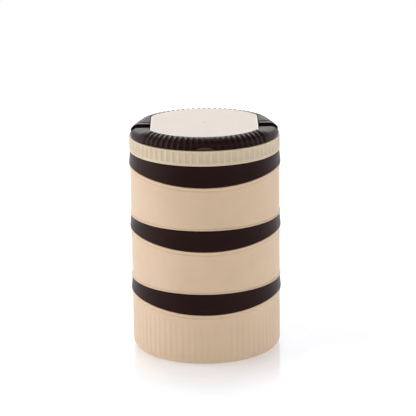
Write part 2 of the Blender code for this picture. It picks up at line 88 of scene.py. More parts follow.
def add_floor():
    """A square floor at z = 0: a matt white that glows a little, under a clear gloss that mirrors the foot
    of the carrier and fades out with the distance from the axis."""
    mesh = bpy.data.meshes.new("studio_floor")
    ends = (-FLOOR_HALF, FLOOR_HALF)
    mesh.from_pydata([(x, y, 0) for y in ends for x in ends], [], [(0, 1, 3, 2)])
    white, shader, nodes, links = new_material("studio_white")
    shader.inputs["Base Color"].default_value = (0.86, 0.86, 0.88, 1)
    shader.inputs["Roughness"].default_value = 0.9
    shader.inputs["Specular IOR Level"].default_value = 0.0
    shader.inputs["Emission Color"].default_value = (0.96, 0.96, 1.0, 1)
    shader.inputs["Emission Strength"].default_value = FLOOR_GLOW
    gloss = nodes.new("ShaderNodeBsdfGlossy")
    gloss.inputs["Color"].default_value = (0.86, 0.93, 1.0, 1)
    gloss.inputs["Roughness"].default_value = 0.1
    distance = nodes.new("ShaderNodeVectorMath")
    distance.operation = "LENGTH"
    links.new(nodes.new("ShaderNodeTexCoord").outputs["Object"], distance.inputs[0])
    fade = nodes.new("ShaderNodeMapRange")
    limits = {"From Min": MIRROR_FULL, "From Max": MIRROR_GONE, "To Min": MIRROR_SHARE, "To Max": 0.0}
    for limit, number in limits.items():
        fade.inputs[limit].default_value = number
    links.new(distance.outputs["Value"], fade.inputs["Value"])
    both = nodes.new("ShaderNodeMixShader")
    links.new(fade.outputs["Result"], both.inputs["Fac"])
    links.new(shader.outputs["BSDF"], both.inputs[1])
    links.new(gloss.outputs["BSDF"], both.inputs[2])
    links.new(both.outputs["Shader"], nodes["Material Output"].inputs["Surface"])
    mesh.materials.append(white)
    link_object("studio_floor", mesh)


def add_softbox(name, place, size, power):
    """A white rectangular area light at a place, aimed at the middle of the carrier."""
    light = bpy.data.lights.new(name, "AREA")
    light.shape = "RECTANGLE"
    light.size, light.size_y = size
    light.energy = power
    lamp = link_object(name, light)
    lamp.location = place
    lamp.rotation_euler = (CAMERA_AIM - lamp.location).to_track_quat("-Z", "Y").to_euler()


def add_camera():
    """A camera on the front side, tilted down and turned a little about its own line of sight."""
    data = bpy.data.cameras.new("studio_camera")
    data.lens = CAMERA_LENS
    data.shift_x = CAMERA_SHIFT
    camera = link_object("studio_camera", data)
    back = Vector((0, -math.cos(CAMERA_TILT), math.sin(CAMERA_TILT)))
    camera.location = CAMERA_AIM + back * CAMERA_DISTANCE
    level = (-back).to_track_quat("-Z", "Y").to_matrix()
    camera.rotation_euler = (level @ Matrix.Rotation(CAMERA_ROLL, 3, "Z")).to_euler()
    bpy.context.scene.camera = camera


def math_of(nodes, links, operation, *values):
    """One arithmetic step on one or two values, each the output of another node."""
    step = nodes.new("ShaderNodeMath")
    step.operation = operation
    for value, socket in zip(values, step.inputs):
        links.new(value, socket)
    return step.outputs["Value"]


def add_world():
    """A surround that is seen as white, and mirrored as a white wall low behind the carrier. It lights
    nothing else, so that the soft lights shape."""
    world = bpy.data.worlds.new("studio_world")
    world.use_nodes = True
    nodes, links = world.node_tree.nodes, world.node_tree.links
    white = nodes["Background"]
    white.inputs["Color"].default_value = (1, 1, 1, 1)
    path = nodes.new("ShaderNodeLightPath")
    toward = nodes.new("ShaderNodeSeparateXYZ")
    links.new(nodes.new("ShaderNodeTexCoord").outputs["Generated"], toward.inputs["Vector"])
    mirrored = path.outputs["Is Glossy Ray"]
    for axis, (dark, bright) in (("Y", WALL_BEHIND), ("Z", WALL_ABOVE)):
        wall = nodes.new("ShaderNodeMapRange")
        wall.interpolation_type = "SMOOTHSTEP"
        wall.inputs["From Min"].default_value = dark
        wall.inputs["From Max"].default_value = bright
        links.new(toward.outputs[axis], wall.inputs["Value"])
        mirrored = math_of(nodes, links, "MULTIPLY", mirrored, wall.outputs["Result"])
    seen = math_of(nodes, links, "MAXIMUM", path.outputs["Is Camera Ray"], mirrored)
    links.new(seen, white.inputs["Strength"])
    bpy.context.scene.world = world


add_floor()
add_softbox("left_softbox", (-1.57, -0.14, 0.77), (1.8, 1.8), 20.6)
add_softbox("front_right_softbox", (1.15, -0.96, 0.93), (1.0, 1.4), 6.8)
add_softbox("right_softbox", (1.57, 0.28, 0.71), (1.0, 1.4), 5.2)
add_softbox("front_softbox", (0.0, -1.2, 1.33), (1.2, 0.8), 4.0)
add_softbox("back_softbox", (0.0, 1.39, 1.11), (1.6, 1.0), 12.5)
add_softbox("top_softbox", (-0.4, 0.3, 1.8), (1.2, 1.2), 4.5)
add_camera()
add_world()
bpy.context.scene.view_settings.view_transform = "Standard"

# ---------------------------------------------------------------------------------------------------------
# Base shell. The outer cup of the lowest bowl, moulded in cream plastic with a satin surface. Shallow flutes
# run up its wall from the rounded foot, and its rolled lip follows the wavy edge of the dark collar above.
# ---------------------------------------------------------------------------------------------------------
CREAM = (0.77, 0.57, 0.388)
GAP = 0.3 * MM
SHELL_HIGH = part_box("base_shell")[1]
SEATS = {
    "base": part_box("middle_shell")[0].z - GAP,
    "middle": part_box("top_shell")[0].z - GAP,
    "top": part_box("lid_ring")[0].z - GAP,
}
LIP_RADIUS = SHELL_HIGH.x
LIP_PROUD = 0.8 * MM
LIP_HEIGHT = 2.6 * MM
BODY_RADIUS = LIP_RADIUS - LIP_PROUD
SHELL_WALL = 1.9 * MM
SHELL_INNER = BODY_RADIUS - SHELL_WALL
BAND_WAVE = 7.5 * MM
BAND_HEIGHT = SEATS["base"] + BAND_WAVE - GAP - SHELL_HIGH.z
FOOT_ROUND = 6.2 * MM
FOOT_RADIUS = BODY_RADIUS - FOOT_ROUND
FOOT_WIDTH = 6.3 * MM
FOOT_RECESS = 1.2 * MM
FOOT_BEND = np.radians(np.arange(27, 91, 7))
WALL_INSET = 0.1 * MM  # keeps the wall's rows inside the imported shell
BASE_WALL_ROWS = 30
SHELL_FLOOR = 3.2 * MM
FLUTES = 72
FLUTE_STEPS = 8
BASE_FLUTE_DEPTH = 0.36 * MM
FLUTE_CREST = (0.2, 0.95)  # of the comb's cosine, from a channel's edge to its rib
FLUTE_RISE = (-0.5 * MM, 1.5 * MM)  # above the floor
FLUTE_FALL = (5.0 * MM, 14.0 * MM)  # below the lip's top
CLOUD_SCALE = 38
RUB_SCALE = 160
ETCH_SCALE = 2600
ETCH_DEPTH = 0.05 * MM
SHEEN_SPREAD = 0.05
CREAM_SCATTER = 0.08
CREAM_DEPTHS = (0.004, 0.002, 0.001)


def angles_of(count):
    """Evenly spaced angles of one turn."""
    return np.arange(count) * math.tau / count


def smooth(value, low, high):
    """A ramp from 0 at low to 1 at high that is level at both ends: 3 t squared - 2 t cubed."""
    t = np.clip((value - low) / (high - low), 0, 1)
    return t * t * (3 - 2 * t)


def straight(radius, low, high, count):
    """Plain profile rows up or down a wall, evenly spaced, with no rounding."""
    return [(radius, low + (high - low) * share, 0.0) for share in np.linspace(0, 1, count)]


def rounded(plan, angles, closed=True, steps=6):
    """Radius and height of every row and column of a profile with its corners rounded. The plan has one
    (radius, height, easing) for each corner, as numbers or as arrays over the angles. A corner gives way to
    a parabola between the points at the easing's distance along its two sides,
    (1 - t)^2 start + 2 t (1 - t) corner + t^2 end, with one more row just outside each end."""
    blank = np.zeros(len(angles))
    corners = np.array([[radius + blank, height + blank] for radius, height, _ in plan])
    t = np.linspace(0, 1, steps)[:, None, None]
    rows = []
    for i, (_, _, easing) in enumerate(plan):
        corner = corners[i]
        if easing == 0 or (not closed and i in (0, len(plan) - 1)):
            rows.append(corner[None])
            continue
        sides = [corners[i - 1] - corner, corners[(i + 1) % len(plan)] - corner]
        back, ahead = [easing * side / np.linalg.norm(side, axis=0) for side in sides]
        curve = (1 - t) ** 2 * (corner + back) + 2 * t * (1 - t) * corner + t**2 * (corner + ahead)
        rows += [(corner + 1.3 * back)[None], curve, (corner + 1.3 * ahead)[None]]
    rows = np.concatenate(rows)
    return rows[:, 0], rows[:, 1]


def add_grid(name, x, y, z, closed, material):
    """A mesh from rows of points that wrap round from the last column to the first. A closed grid also
    wraps from its last row to its first, and an open one gets a point in the middle of each end row."""
    rows, columns = x.shape
    points = np.stack([x, y, z], -1).reshape(-1, 3)
    last_row = rows if closed else rows - 1
    row, column = np.meshgrid(np.arange(last_row), np.arange(columns), indexing="ij")
    here, beyond = row * columns, (row + 1) % rows * columns
    after = (column + 1) % columns
    quads = np.stack([here + column, here + after, beyond + after, beyond + column], -1)
    faces = quads.reshape(-1, 4).tolist()
    if not closed:
        middles = [points[:columns].mean(0), points[-columns:].mean(0)]
        first_pole, last_pole = len(points), len(points) + 1
        points = np.concatenate([points, middles])
        j = np.arange(columns)
        k = (j + 1) % columns
        top = (rows - 1) * columns
        faces += np.stack([np.full(columns, first_pole), k, j], -1).tolist()
        faces += np.stack([top + j, top + k, np.full(columns, last_pole)], -1).tolist()
    mesh = bpy.data.meshes.new(name)
    mesh.from_pydata(points.tolist(), [], faces)
    mesh.shade_smooth()
    mesh.materials.append(material)
    return link_object(name, mesh)


def add_turned(name, radius, height, angles, material, closed=True):
    """A turned piece: the grid of radius and height carried round the axis through the given angles."""
    x, y = radius * np.sin(angles), -radius * np.cos(angles)
    return add_grid(name, x, y, height + 0 * x, closed, material)


def noise_at(nodes, links, vector, scale, detail):
    """A noise texture at a scale, read at a vector, as its value output."""
    noise = nodes.new("ShaderNodeTexNoise")
    noise.inputs["Scale"].default_value = scale
    noise.inputs["Detail"].default_value = detail
    links.new(vector, noise.inputs["Vector"])
    return noise.outputs["Fac"]


def ramp_of(nodes, links, value, low, high):
    """Two colours mixed by a value, from its 0.3 to its 0.7."""
    ramp = nodes.new("ShaderNodeValToRGB")
    for element, place, colour in zip(ramp.color_ramp.elements, (0.3, 0.7), (low, high)):
        element.position = place
        element.color = (*colour, 1)
    links.new(value, ramp.inputs["Fac"])
    return ramp.outputs["Color"]


def range_of(nodes, links, value, low, high):
    """A value from 0.3 to 0.7 spread over low to high."""
    spread = nodes.new("ShaderNodeMapRange")
    limits = {"From Min": 0.3, "From Max": 0.7, "To Min": low, "To Max": high}
    for limit, number in limits.items():
        spread.inputs[limit].default_value = number
    links.new(value, spread.inputs["Value"])
    return spread.outputs["Result"]


def bump_of(nodes, links, value, strength, distance):
    """A bumped normal from a height value."""
    bump = nodes.new("ShaderNodeBump")
    bump.inputs["Strength"].default_value = strength
    bump.inputs["Distance"].default_value = distance
    links.new(value, bump.inputs["Height"])
    return bump.outputs["Normal"]


def moulded_plastic(name, colour, roughness, grain, mottle):
    """Injection-moulded plastic: an etched grain, a faint cloudy colour and a sheen that varies slowly."""
    made, shader, nodes, links = new_material(name)
    place = nodes.new("ShaderNodeTexCoord").outputs["Object"]
    cloud = noise_at(nodes, links, place, CLOUD_SCALE, 4)
    low = [channel * (1 - mottle) for channel in colour]
    high = [channel * (1 + mottle) for channel in colour]
    links.new(ramp_of(nodes, links, cloud, low, high), shader.inputs["Base Color"])
    rub = noise_at(nodes, links, place, RUB_SCALE, 5)
    sheen = range_of(nodes, links, rub, roughness - SHEEN_SPREAD, roughness + SHEEN_SPREAD)
    links.new(sheen, shader.inputs["Roughness"])
    etch = noise_at(nodes, links, place, ETCH_SCALE, 2)
    links.new(bump_of(nodes, links, etch, grain, ETCH_DEPTH), shader.inputs["Normal"])
    return made, shader


def scatter_in(shader, weight, depths):
    """Light that enters a pale plastic and comes out nearby: its share, and how deep each colour goes."""
    shader.inputs["Subsurface Weight"].default_value = weight
    shader.inputs["Subsurface Radius"].default_value = depths


def band_foot(seat, angles):
    """The wavy lower edge of a dark band: lowest at the front and back, higher by the wave at the sides."""
    return seat - BAND_HEIGHT + BAND_WAVE * np.sin(angles) ** 2


def lip_plan(lip_top):
    """The rolled lip at the top of a shell: a shallow groove under it, its face, its top and its inside."""
    groove = lip_top - LIP_HEIGHT
    return [
        (BODY_RADIUS, groove - 1.5 * MM, 0.4 * MM),
        (BODY_RADIUS - 0.5 * MM, groove - 0.4 * MM, 0.3 * MM),
        (LIP_RADIUS - 0.1 * MM, groove + 0.4 * MM, 0.3 * MM),
        (LIP_RADIUS, lip_top, 0.6 * MM),
        (SHELL_INNER, lip_top, 0.3 * MM),
    ]


def base_grid(angles):
    """The base shell's profile: recess, foot, fluted wall, lip, inside wall and floor. The wall is pulled
    in by the flute depth times a rounded comb of the angle, which fades near the foot and the lip."""
    lip_top = band_foot(SEATS["base"], angles) - GAP
    bend = [
        (FOOT_RADIUS + (FOOT_ROUND - WALL_INSET) * math.sin(tilt), FOOT_ROUND * (1 - math.cos(tilt)), 0.0)
        for tilt in FOOT_BEND
    ]
    wall_top = lip_top - LIP_HEIGHT - 2.2 * MM
    plan = [
        (FOOT_RADIUS - FOOT_WIDTH - 1.1 * MM, FOOT_RECESS, 0.0),
        (FOOT_RADIUS - FOOT_WIDTH, 0.0, 0.5 * MM),
        (FOOT_RADIUS - 0.6 * MM, 0.0, 0.5 * MM),
        *bend,
        *straight(BODY_RADIUS - WALL_INSET, 1.2 * FOOT_ROUND, wall_top, BASE_WALL_ROWS),
        *lip_plan(lip_top),
        (SHELL_INNER, 9.0 * MM, 0.0),
        (SHELL_INNER, SHELL_FLOOR, 4.0 * MM),
        (20.0 * MM, SHELL_FLOOR, 0.0),
    ]
    radius, height = rounded(plan, angles, closed=False)
    channel = 1 - smooth(np.cos(angles * FLUTES), *FLUTE_CREST)
    fade = smooth(height, *FLUTE_RISE) * smooth(lip_top - height, *FLUTE_FALL)
    foot_part = (height < FOOT_ROUND) & (radius > FOOT_RADIUS + 0.5 * MM)
    outside = (radius > BODY_RADIUS - 1 * MM) | foot_part
    inside_cup = (radius < SHELL_INNER + 0.1 * MM) & (height > SHELL_FLOOR - 0.1 * MM)
    return radius - BASE_FLUTE_DEPTH * channel * fade * (outside & ~inside_cup), height


cream_plastic, cream_shader = moulded_plastic("cream_plastic", CREAM, 0.42, 0.25, 0.03)
scatter_in(cream_shader, CREAM_SCATTER, CREAM_DEPTHS)
fluted_angles = angles_of(FLUTES * FLUTE_STEPS)
base_skin = add_turned("base_skin", *base_grid(fluted_angles), fluted_angles, cream_plastic, closed=False)
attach(base_skin, "base_tier")
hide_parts("base_shell")

# ---------------------------------------------------------------------------------------------------------
# Tier shells. Two open tubes of the same cream plastic. Each stands on the collar below with a thin rounded
# bead, is threaded inside its lower wall, and has a ledge that its closing plate is welded to.
# ---------------------------------------------------------------------------------------------------------
THREAD_STARTS = 4
THREAD_LEAD = 16.0 * MM
THREAD_FOOT = 2.4 * MM
THREAD_ARC = math.radians(60)
THREAD_WIDTH = 1.5 * MM
THREAD_RUNOUT = 0.12
THREAD_ROOM = 2.0 * MM
THREAD_ROWS = 40
FEMALE_RIDGE = 0.75 * THREAD_ROOM
LEDGE_WIDTH = 3.6 * MM
LEDGE_INNER = SHELL_INNER - LEDGE_WIDTH
LEDGE_LOW = 11.6 * MM
LEDGE_TOP = 12.6 * MM
BEAD_PROUD = 0.7 * MM
plain_angles = angles_of(288)


def thread_ridge(angles, height, first):
    """How much of a thread ridge stands at each angle and height, from 0 to 1. Its middle follows a helix,
    height = foot + lead x angle / turn, and it tapers away at both ends and on both sides."""
    along = (angles - first) % (math.tau / THREAD_STARTS)
    middle = THREAD_FOOT + THREAD_LEAD * along / math.tau
    side = 1 - smooth(np.abs(height - middle), 0.3 * THREAD_WIDTH, 0.6 * THREAD_WIDTH)
    ends = smooth(along, 0, THREAD_RUNOUT) - smooth(along, THREAD_ARC - THREAD_RUNOUT, THREAD_ARC)
    return side * ends


def female_wall(radius, height, angles, seat):
    """A shell's inside wall with the ridges that catch the neck's, half a start round from them."""
    ridge = thread_ridge(angles, height - seat, math.pi / THREAD_STARTS)
    threaded = (np.abs(radius - SHELL_INNER) < 0.1 * MM) & (height < seat + LEDGE_LOW - 2 * MM)
    return radius - FEMALE_RIDGE * ridge * threaded


def bead_plan(seat):
    """The rounded bead that a shell stands on, from its inside to the wall above it."""
    bead = BODY_RADIUS + BEAD_PROUD
    return [
        (SHELL_INNER, seat + GAP, 0.3 * MM),
        (bead, seat + GAP, 0.2 * MM),
        (bead - 0.3 * MM, seat + 1.4 * MM, 0.3 * MM),
        (BODY_RADIUS - 0.3 * MM, seat + 1.8 * MM, 0.2 * MM),
        (BODY_RADIUS, seat + 2.8 * MM, 0.4 * MM),
    ]


def inside_plan(seat):
    """The inside of a shell: down to the ledge, round it, and down the threaded wall."""
    return [
        (SHELL_INNER, seat + LEDGE_TOP, 0.4 * MM),
        (LEDGE_INNER, seat + LEDGE_TOP, 0.3 * MM),
        (LEDGE_INNER, seat + LEDGE_LOW, 0.3 * MM),
        (SHELL_INNER, seat + LEDGE_LOW, 0.3 * MM),
        *straight(SHELL_INNER, seat + 8.2 * MM, seat + 0.9 * MM, THREAD_ROWS),
    ]


def tier_grid(angles, below, above):
    """A tier shell from the seat below it to its wavy lip, and down again inside."""
    lip_top = band_foot(above, angles) - GAP
    wall = straight(BODY_RADIUS - 0.05 * MM, below + 4 * MM, lip_top - LIP_HEIGHT - 3 * MM, 6)
    plan = [*bead_plan(below), *wall, *lip_plan(lip_top), *inside_plan(below)]
    radius, height = rounded(plan, angles)
    return female_wall(radius, height, angles, below), height


for tier, below in (("middle", "base"), ("top", "middle")):
    grid = tier_grid(plain_angles, SEATS[below], SEATS[tier])
    tier_skin = add_turned(f"{tier}_skin", *grid, plain_angles, cream_plastic)
    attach(tier_skin, f"{tier}_tier")
    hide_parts(f"{tier}_shell")

# ---------------------------------------------------------------------------------------------------------
# Collars. One dark brown collar sits in the top of each tier. Its band shows, flaring a little towards its
# wavy lower edge, its tube reaches down inside the shell, and its threaded neck holds the tier above.
# ---------------------------------------------------------------------------------------------------------
BROWN = (0.017, 0.0062, 0.0058)
BAND_FLARE = 1.0 * MM
NECK_OUTER = SHELL_INNER - THREAD_ROOM
NECK_WALL = 2.4 * MM
NECK_INNER = NECK_OUTER - NECK_WALL
NECK_HEIGHT = 7.6 * MM
NECK_ROWS = 36
NECK_RIDGE = 0.8 * THREAD_ROOM
TUBE_OUTER = SHELL_INNER - GAP
TUBE_WALL = 2.1 * MM
TUBE_INNER = TUBE_OUTER - TUBE_WALL
TUBE_LAP = 4.3 * MM
SHOULDER = 2.0 * MM


def collar_grid(angles, seat):
    """A collar's profile: up the band, over the seat, up the threaded neck, over it and down the tube. The
    band stands out by the flare times (1 - share of its height)^1.5, widest at its wavy foot."""
    foot = band_foot(seat, angles)
    tube_low = seat - BAND_HEIGHT - TUBE_LAP
    rise = seat - foot
    shares = np.linspace(0.12, 0.9, 8)
    band = [
        (BODY_RADIUS + BAND_FLARE * (1 - share) ** 1.5, foot + rise * share, 0.0) for share in shares
    ]
    plan = [
        (BODY_RADIUS + BAND_FLARE, foot, 0.7 * MM),
        *band,
        (BODY_RADIUS, seat, 0.6 * MM),
        (NECK_OUTER, seat, 0.3 * MM),
        *straight(NECK_OUTER, seat + 0.8 * MM, seat + 6.9 * MM, NECK_ROWS),
        (NECK_OUTER, seat + NECK_HEIGHT, 0.35 * MM),
        (NECK_INNER, seat + NECK_HEIGHT, 0.5 * MM),
        (NECK_INNER, seat - SHOULDER, 0.3 * MM),
        (TUBE_INNER, seat - SHOULDER, 0.3 * MM),
        (TUBE_INNER, tube_low, 0.6 * MM),
        (TUBE_OUTER, tube_low, 0.6 * MM),
        (TUBE_OUTER, foot, 0.25 * MM),
    ]
    radius, height = rounded(plan, angles)
    neck = np.abs(radius - NECK_OUTER) < 0.1 * MM
    ridge = thread_ridge(angles, height - seat, 0.0)
    return radius + NECK_RIDGE * ridge * neck, height


dark_plastic, dark_shader = moulded_plastic("dark_plastic", BROWN, 0.38, 0.2, 0.12)
dark_shader.inputs["Specular IOR Level"].default_value = 0.12
dark_shader.inputs["Specular Tint"].default_value = (1.0, 0.68, 0.66, 1)
for tier, seat in SEATS.items():
    collar = add_turned(f"{tier}_band", *collar_grid(plain_angles, seat), plain_angles, dark_plastic)
    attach(collar, f"{tier}_tier")
    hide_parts(f"{tier}_collar")

# ---------------------------------------------------------------------------------------------------------
# Steel bowls. Spun stainless bowls with a brushed surface, tapering to a rounded floor. The rim of each is
# turned out over its collar's neck, with a rolled edge.
# ---------------------------------------------------------------------------------------------------------
STEEL = 0.6 * MM
BOWL_OUTER = NECK_INNER - GAP
RIM_OUTER = NECK_OUTER - GAP
RIM_LOW = NECK_HEIGHT + GAP
BOWL_TAPER = 2.9 * MM
BOWL_CORNER = 5.0 * MM
INNER_ROW = 10.0 * MM  # radius of the last row before the middle of a floor
STEEL_DARK = (0.56, 0.55, 0.53)
STEEL_PALE = (0.66, 0.65, 0.63)
bowl_angles = angles_of(192)


def bowl_grid(angles, seat, floor):
    """A bowl's profile from the middle of its underside, up its outside, over the rim and down inside."""
    low_outer = BOWL_OUTER - BOWL_TAPER
    rim = seat + RIM_LOW
    plan = [
        (INNER_ROW, floor, 0.0),
        (low_outer - 0.3 * MM, floor, BOWL_CORNER),
        (BOWL_OUTER, seat - SHOULDER, 3 * MM),
        (BOWL_OUTER, rim, 0.4 * MM),
        (RIM_OUTER, rim, 0.25 * MM),
        (RIM_OUTER, rim + STEEL, 0.25 * MM),
        (BOWL_OUTER - STEEL, rim + STEEL, 0.9 * MM),
        (BOWL_OUTER - STEEL, seat - SHOULDER, 3 * MM),
        (low_outer - 0.3 * MM - STEEL, floor + STEEL, BOWL_CORNER),
        (INNER_ROW, floor + STEEL, 0.0),
    ]
    return rounded(plan, angles, closed=False, steps=9)


def distance_from_axis(nodes, links):
    """The distance of the shaded point from the object's own Z axis."""
    flat = nodes.new("ShaderNodeVectorMath")
    flat.operation = "MULTIPLY"
    flat.inputs[1].default_value = (1, 1, 0)
    links.new(nodes.new("ShaderNodeTexCoord").outputs["Object"], flat.inputs[0])
    distance = nodes.new("ShaderNodeVectorMath")
    distance.operation = "LENGTH"
    links.new(flat.outputs["Vector"], distance.inputs[0])
    return distance.outputs["Value"]


def brushed_steel(name):
    """Stainless steel brushed in rings: fine noise that changes with radius and height and hardly at all
    along a ring, so that it streaks the roughness and the bump round the axis."""
    made, shader, nodes, links = new_material(name)
    shader.inputs["Metallic"].default_value = 1.0
    place = nodes.new("ShaderNodeTexCoord").outputs["Object"]
    split = nodes.new("ShaderNodeSeparateXYZ")
    links.new(place, split.inputs["Vector"])
    ring = nodes.new("ShaderNodeCombineXYZ")
    links.new(distance_from_axis(nodes, links), ring.inputs["X"])
    links.new(split.outputs["Z"], ring.inputs["Y"])
    streak = noise_at(nodes, links, ring.outputs["Vector"], 2200, 3)
    cloud = noise_at(nodes, links, place, 30, 3)
    tone = ramp_of(nodes, links, cloud, STEEL_DARK, STEEL_PALE)
    links.new(tone, shader.inputs["Base Color"])
    links.new(range_of(nodes, links, streak, 0.2, 0.36), shader.inputs["Roughness"])
    links.new(bump_of(nodes, links, streak, 0.25, 0.02 * MM), shader.inputs["Normal"])
    return made


steel = brushed_steel("brushed_steel")
for tier, seat in SEATS.items():
    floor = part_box(f"{tier}_bowl")[0].z
    grid = bowl_grid(bowl_angles, seat, floor)
    spun = add_turned(f"{tier}_steel", *grid, bowl_angles, steel, closed=False)
    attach(spun, f"{tier}_tier")
    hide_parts(f"{tier}_bowl")

# ---------------------------------------------------------------------------------------------------------
# Insulation. Rigid foam is blown in between each bowl and its shell and fills that space, and a thin disc of
# it lies in the lid. It is pale yellow, with small closed cells where it is cut.
# ---------------------------------------------------------------------------------------------------------
FOAM_OUTER = SHELL_INNER - 2 * GAP
FOAM_FOOT_EASE = {"base": 4.5 * MM, "middle": 0.8 * MM, "top": 0.8 * MM}
FOAM_DARK = (0.72, 0.58, 0.32)
FOAM_PALE = (0.86, 0.76, 0.5)
CELL_SCALE = 900
CELL_DEPTH = 0.3 * MM


def rigid_foam(name):
    """Closed-cell foam: a cell pattern pits the surface, with painted shade darkening the pits, over a cloudy
    yellow.
    """
    made, shader, nodes, links = new_material(name)
    place = nodes.new("ShaderNodeTexCoord").outputs["Object"]
    cells = nodes.new("ShaderNodeTexVoronoi")
    cells.inputs["Scale"].default_value = CELL_SCALE
    links.new(place, cells.inputs["Vector"])
    cloud = noise_at(nodes, links, place, 60, 5)
    # painted shade in the pits: the cell distance, lowest there, is added to the cloud's random tone
    mixed = nodes.new("ShaderNodeMath")
    mixed.operation = "MULTIPLY_ADD"
    mixed.inputs[1].default_value = 0.35
    links.new(cells.outputs["Distance"], mixed.inputs[0])
    links.new(cloud, mixed.inputs[2])
    tone = ramp_of(nodes, links, mixed.outputs["Value"], FOAM_DARK, FOAM_PALE)
    links.new(tone, shader.inputs["Base Color"])
    shader.inputs["Roughness"].default_value = 0.92
    pitted = bump_of(nodes, links, cells.outputs["Distance"], 0.6, CELL_DEPTH)
    links.new(pitted, shader.inputs["Normal"])
    return made


def foam_grid(angles, seat, low, floor, low_ease):
    """A tier's foam: its underside, its outer wall in two steps, its top, and the hollow for the bowl."""
    tube_low = seat - BAND_HEIGHT - TUBE_LAP - GAP
    top = seat - SHOULDER - GAP
    bowl_low = BOWL_OUTER - BOWL_TAPER
    plan = [
        (INNER_ROW, low, 0.0),
        (FOAM_OUTER, low, low_ease),
        (FOAM_OUTER, tube_low, 0.5 * MM),
        (TUBE_INNER - 2 * GAP, tube_low, 0.3 * MM),
        (TUBE_INNER - 2 * GAP, top, 0.3 * MM),
        (BOWL_OUTER + GAP, top, 0.3 * MM),
        (bowl_low, floor - GAP, BOWL_CORNER),
        (INNER_ROW, floor - GAP, 0.0),
    ]
    return rounded(plan, angles, closed=False, steps=8)


foam = rigid_foam("rigid_foam")
for tier, seat in SEATS.items():
    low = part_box(f"{tier}_foam")[0].z
    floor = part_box(f"{tier}_bowl")[0].z
    grid = foam_grid(bowl_angles, seat, low, floor, FOAM_FOOT_EASE[tier])
    blown = add_turned(f"{tier}_insulation", *grid, bowl_angles, foam, closed=False)
    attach(blown, f"{tier}_tier")
    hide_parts(f"{tier}_foam")
foam_low, foam_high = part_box("lid_foam")
disc_plan = [
    (5 * MM, foam_low.z, 0.0),
    (foam_high.x, foam_low.z, 0.5 * MM),
    (foam_high.x, foam_high.z, 0.5 * MM),
    (5 * MM, foam_high.z, 0.0),
]
grid = rounded(disc_plan, bowl_angles, closed=False)
foam_disc = add_turned("lid_insulation", *grid, bowl_angles, foam, closed=False)
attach(foam_disc, "lid")
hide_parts("lid_foam")

# ---------------------------------------------------------------------------------------------------------
# Plates. A cream plate closes the middle tier, the top tier and the lid from below. Its flange is welded to
# the ledge inside the shell, and its shallow pan dips into the mouth of the bowl below.
# ---------------------------------------------------------------------------------------------------------
PLATE_THICKNESS = 1.2 * MM
PAN_DEPTH = 3.0 * MM
PAN_RADIUS = BOWL_OUTER - STEEL - 0.7 * MM
DIMPLE_RADIUS = 12.0 * MM
DIMPLE_SLOPE = 2.0 * MM
DIMPLE_HEIGHT = 0.6 * MM


def plate_grid(angles, low, high, radius):
    """A plate's profile: the pan's underside with a raised middle, its wall, the flange, and back over the
    top, which is the same shape one thickness higher."""
    thin = PLATE_THICKNESS
    dimple_foot = DIMPLE_RADIUS + DIMPLE_SLOPE
    plan = [
        (DIMPLE_RADIUS, low + DIMPLE_HEIGHT, 0.0),
        (dimple_foot, low, 0.5 * MM),
        (PAN_RADIUS - 0.4 * MM, low, 1.2 * MM),
        (PAN_RADIUS, low + PAN_DEPTH, 0.5 * MM),
        (radius, low + PAN_DEPTH, 0.3 * MM),
        (radius, high, 0.3 * MM),
        (PAN_RADIUS - thin, high, 0.5 * MM),
        (PAN_RADIUS - thin - 0.4 * MM, high - PAN_DEPTH, 0.8 * MM),
        (dimple_foot, high - PAN_DEPTH, 0.5 * MM),
        (DIMPLE_RADIUS, high - PAN_DEPTH + DIMPLE_HEIGHT, 0.0),
    ]
    return rounded(plan, angles, closed=False)


for name in ("middle", "top", "lid"):
    low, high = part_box(f"{name}_plate")
    grid = plate_grid(bowl_angles, low.z, high.z, high.x)
    closing = add_turned(f"{name}_closing_plate", *grid, bowl_angles, cream_plastic, closed=False)
    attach(closing, "lid" if name == "lid" else f"{name}_tier")
    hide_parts(f"{name}_plate")

# ---------------------------------------------------------------------------------------------------------
# Seals. A flat ring of milky silicone lies on each bowl's rim, pressed by the plate above. It is moulded in
# one piece and rounded at all four corners.
# ---------------------------------------------------------------------------------------------------------
MILKY = (0.75, 0.74, 0.70)
SEAL_WIDTH = 2.3 * MM
SEAL_EASE = 0.45


def seal_grid(angles, low, high, inner, outer):
    """A seal's profile: a flat ring whose corners are fully rounded."""
    ease = SEAL_EASE * (high - low)
    plan = [(outer, low, ease), (outer, high, ease), (inner, high, ease), (inner, low, ease)]
    return rounded(plan, angles)


silicone, silicone_shader = moulded_plastic("silicone", MILKY, 0.55, 0.15, 0.02)
scatter_in(silicone_shader, 0.35, (0.002, 0.002, 0.0015))
for name in ("middle", "top", "lid"):
    low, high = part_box(f"{name}_seal")
    grid = seal_grid(bowl_angles, low.z, high.z, high.x - SEAL_WIDTH, high.x)
    gasket = add_turned(f"{name}_gasket", *grid, bowl_angles, silicone)
    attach(gasket, f"{name}_seal_ring")
    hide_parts(f"{name}_seal")

# ---------------------------------------------------------------------------------------------------------
# Lid ring. The cream ring that the hand turns to open the lid. Seventy-two flat-bottomed channels leave thin
# ribs for grip, between a smooth bead at its foot and a plain rim. It is threaded inside like a tier shell.
# ---------------------------------------------------------------------------------------------------------
RING_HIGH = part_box("lid_ring")[1]
RIB_RADIUS = RING_HIGH.x
RING_CREAM = (0.78, 0.635, 0.445)
# painted shade: the darker cream laid into the channels, standing in for the shade that falls in them
CHANNEL_PAINTED_SHADE = (0.68, 0.56, 0.39)
CHANNEL_DEPTH = 0.32 * MM
CHANNEL_FOOT = 3.0 * MM
CHANNEL_TOP = 1.3 * MM
CHANNEL_RAMP = 0.45 * MM
RIB_SHARE = 0.10
EDGE_SHARE = 0.03
RIB_STEPS = (0.0, RIB_SHARE - EDGE_SHARE, RIB_SHARE, RIB_SHARE + EDGE_SHARE)


